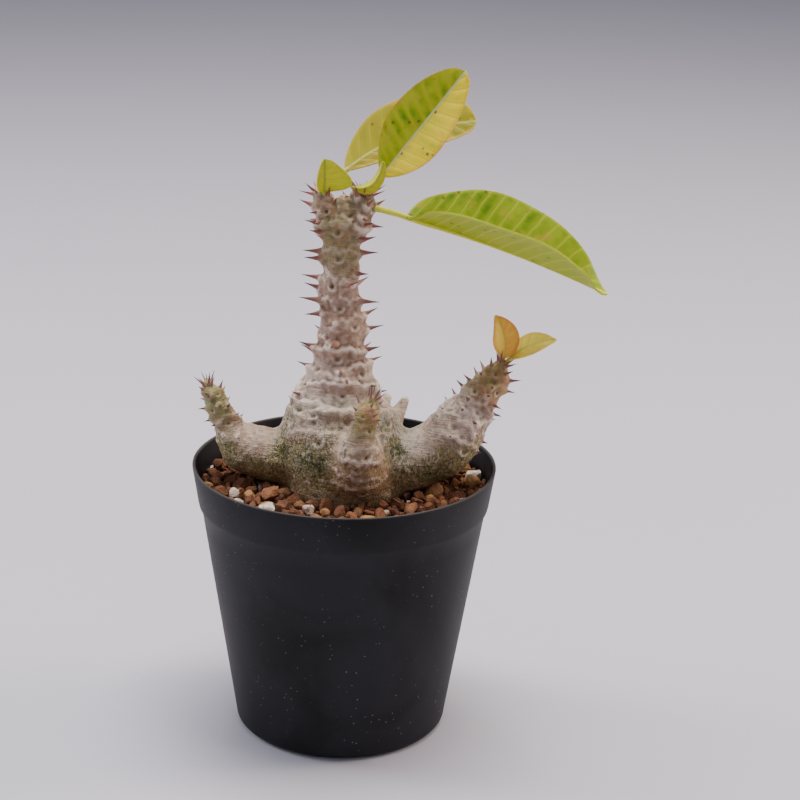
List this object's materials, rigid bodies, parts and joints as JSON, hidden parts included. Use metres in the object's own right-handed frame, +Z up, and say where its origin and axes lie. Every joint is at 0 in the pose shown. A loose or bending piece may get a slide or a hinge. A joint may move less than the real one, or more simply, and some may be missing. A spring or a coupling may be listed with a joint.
{
  "type": "potted pachypodium",
  "caption": "Young pachypodium with a swollen grey-green caudex, a spiny upright stem, low side branches and a few leaves, in a tapered round black nursery pot filled with granular medium.",
  "frame": {"origin": "centre of the pot's underside, on the pot's axis", "axes": "+Z up along the pot's axis; the plant's broad view faces -Y, with the taller side branch and the large leaf towards +X"},
  "size_m": [0.1198, 0.0898, 0.2002],
  "materials": {
    "pot_plastic": "satin",
    "growing_medium": "matte",
    "bark": "matte",
    "leaf_green": "satin",
    "leaf_yellow_green": "satin",
    "leaf_orange": "satin",
    "fired_clay_grain": "matte",
    "pumice_grain": "matte",
    "tan_gravel_grain": "matte"
  },
  "bodies": {
    "root": {"akadama_grain_01": "fired_clay_grain", "akadama_grain_02": "fired_clay_grain", "akadama_grain_03": "fired_clay_grain", "akadama_grain_04": "fired_clay_grain", "akadama_grain_05": "fired_clay_grain", "akadama_grain_06": "fired_clay_grain", "akadama_grain_07": "fired_clay_grain", "akadama_grain_08": "fired_clay_grain", "akadama_grain_09": "fired_clay_grain", "akadama_grain_10": "fired_clay_grain", "akadama_grain_11": "fired_clay_grain", "akadama_grain_12": "fired_clay_grain", "akadama_grain_13": "fired_clay_grain", "akadama_grain_14": "fired_clay_grain", "akadama_grain_15": "fired_clay_grain", "akadama_grain_16": "fired_clay_grain", "akadama_grain_17": "fired_clay_grain", "akadama_grain_18": "fired_clay_grain", "caudex_stem": "bark", "gravel_grain_01": "tan_gravel_grain", "gravel_grain_02": "tan_gravel_grain", "gravel_grain_03": "tan_gravel_grain", "gravel_grain_04": "tan_gravel_grain", "gravel_grain_05": "tan_gravel_grain", "gravel_grain_06": "tan_gravel_grain", "gravel_grain_07": "tan_gravel_grain", "gravel_grain_08": "tan_gravel_grain", "gravel_grain_09": "tan_gravel_grain", "gravel_grain_10": "tan_gravel_grain", "growing_medium": "growing_medium", "leaf_branch_level": "leaf_yellow_green", "leaf_branch_upright": "leaf_orange", "leaf_right_large": "leaf_green", "leaf_top_back": "leaf_yellow_green", "leaf_top_front": "leaf_green", "leaf_young_left": "leaf_yellow_green", "leaf_young_right": "leaf_yellow_green", "pot": "pot_plastic", "pumice_grain_01": "pumice_grain", "pumice_grain_02": "pumice_grain", "pumice_grain_03": "pumice_grain", "pumice_grain_04": "pumice_grain", "pumice_grain_05": "pumice_grain", "pumice_grain_06": "pumice_grain", "pumice_grain_07": "pumice_grain", "pumice_grain_08": "pumice_grain"}
  },
  "joints": []
}
